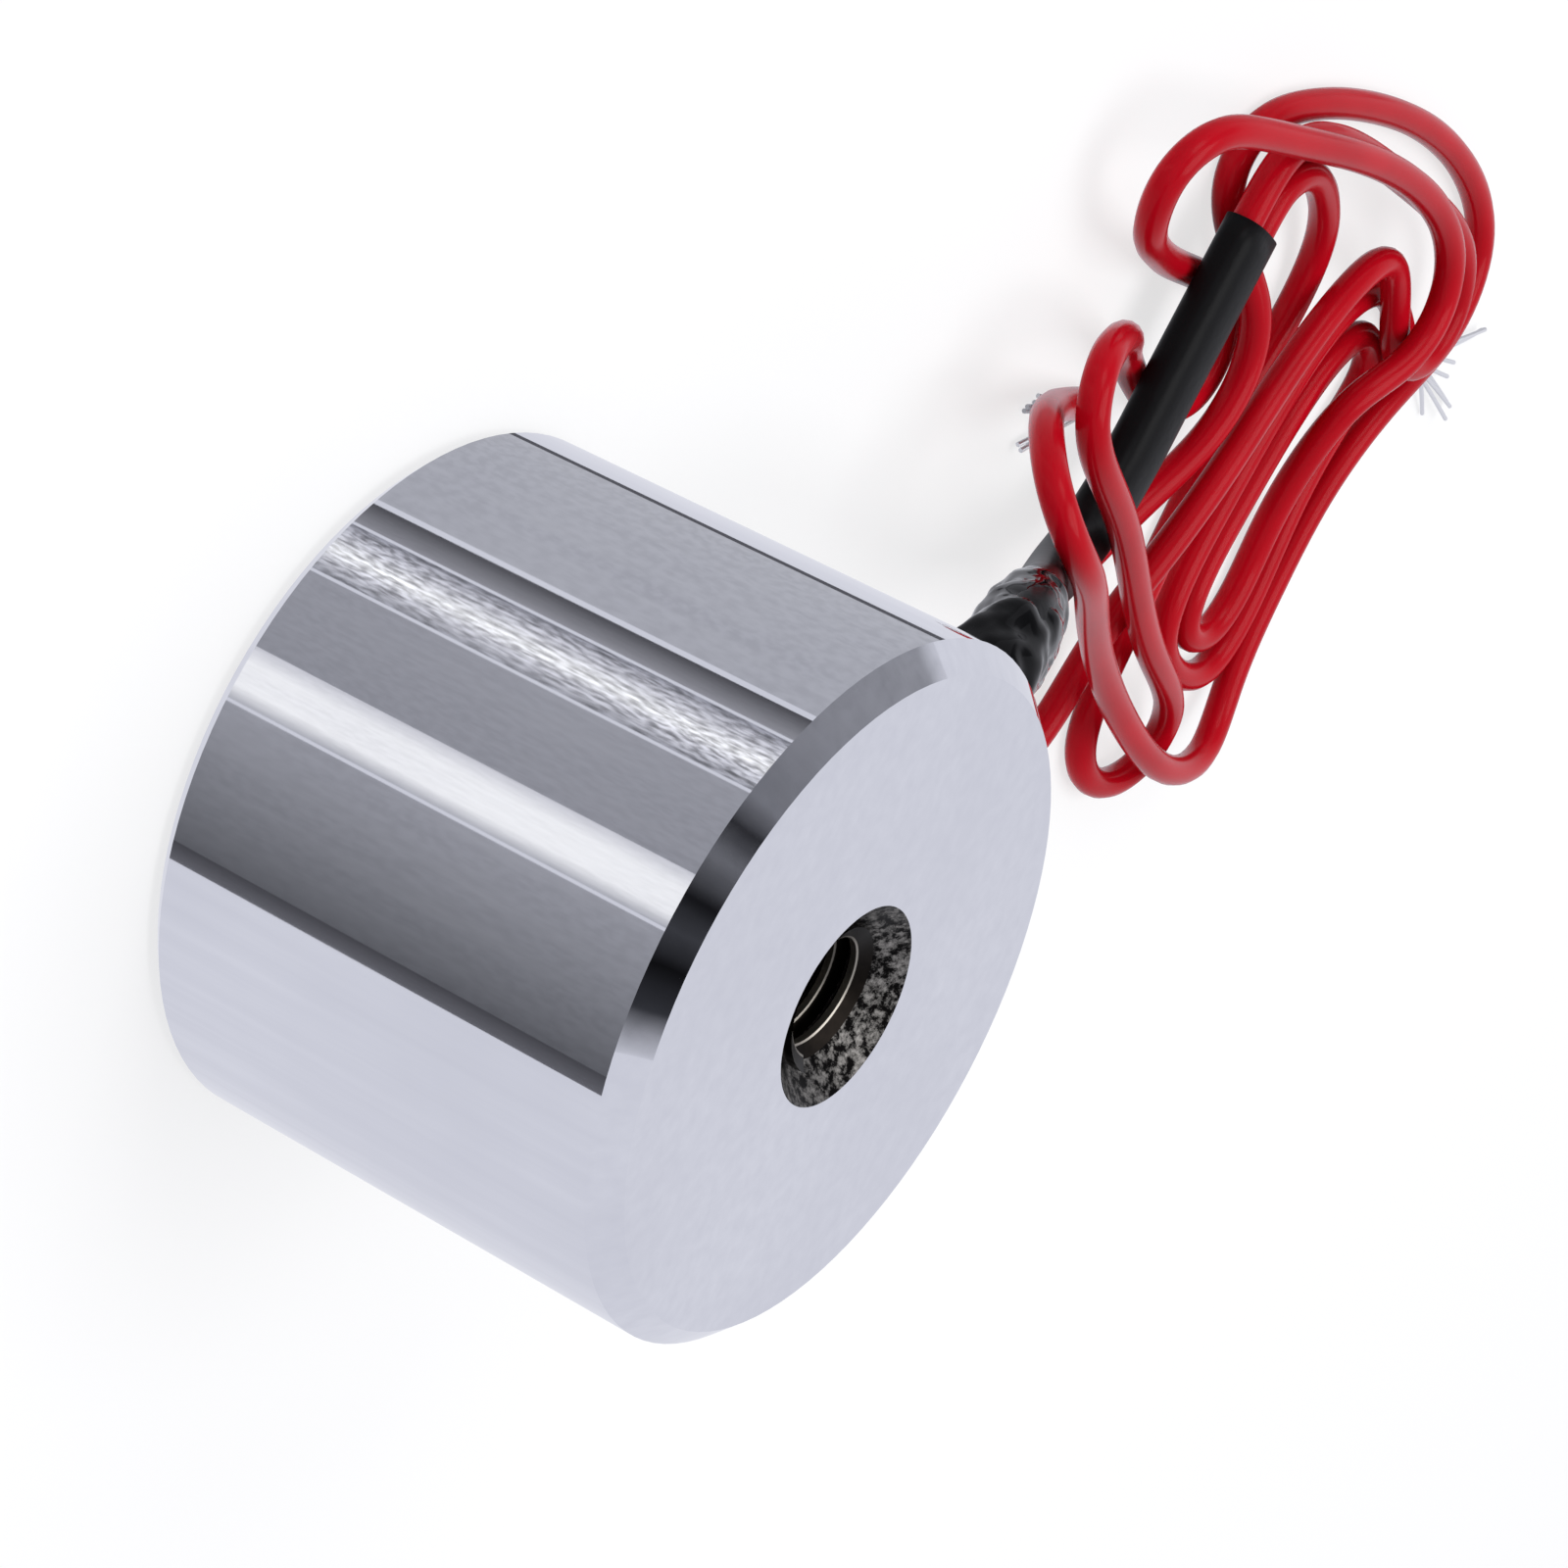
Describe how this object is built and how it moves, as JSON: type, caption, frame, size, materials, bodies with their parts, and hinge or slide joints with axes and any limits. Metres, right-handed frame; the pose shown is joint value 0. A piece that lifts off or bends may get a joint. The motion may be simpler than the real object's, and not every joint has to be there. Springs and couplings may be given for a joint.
{
  "type": "holding electromagnet",
  "caption": "Small round pot electromagnet: turned steel pot with a potted coil, a flat holding face, a threaded hole in the back, and a sleeved pair of leads folded into a hank.",
  "frame": {"origin": "centre of the holding face, on the surface that the magnet stands on", "axes": "+Z along the axis of the pot, from the holding face to the threaded end; the leads leave the wall towards -X and +Y"},
  "size_m": [0.0475, 0.065, 0.015],
  "materials": {
    "plated_steel": "bright plated turned steel, with fine lengthwise marks",
    "bobbin_nylon": "moulded natural nylon",
    "enamelled_copper": "wound enamelled copper wire",
    "polyester_tape": "glossy yellow film tape",
    "potting_resin": "black epoxy, ground flush with the holding face",
    "tinned_copper": "dull tinned strands",
    "splice_tubing": "white insulating tubing",
    "black_sealant": "glossy black adhesive, wrinkled",
    "heat_shrink": "satin black heat-shrink tube",
    "red_insulation": "smooth red insulation with a soft gloss"
  },
  "bodies": {
    "root": {"pot_body": "plated_steel", "coil_bobbin": "bobbin_nylon", "coil_winding": "enamelled_copper", "winding_tape": "polyester_tape", "potting_ring": "potting_resin", "coil_tail_a": "enamelled_copper", "coil_tail_b": "enamelled_copper", "solder_joint_a": "tinned_copper", "solder_joint_b": "tinned_copper", "splice_tube_a": "splice_tubing", "splice_tube_b": "splice_tubing", "exit_sealant": "black_sealant", "heat_shrink_sleeve": "heat_shrink", "lead_a": "red_insulation", "lead_b": "red_insulation", "lead_hank": "red_insulation", "lead_a_bare_end": "tinned_copper", "lead_b_bare_end": "tinned_copper"}
  },
  "joints": []
}
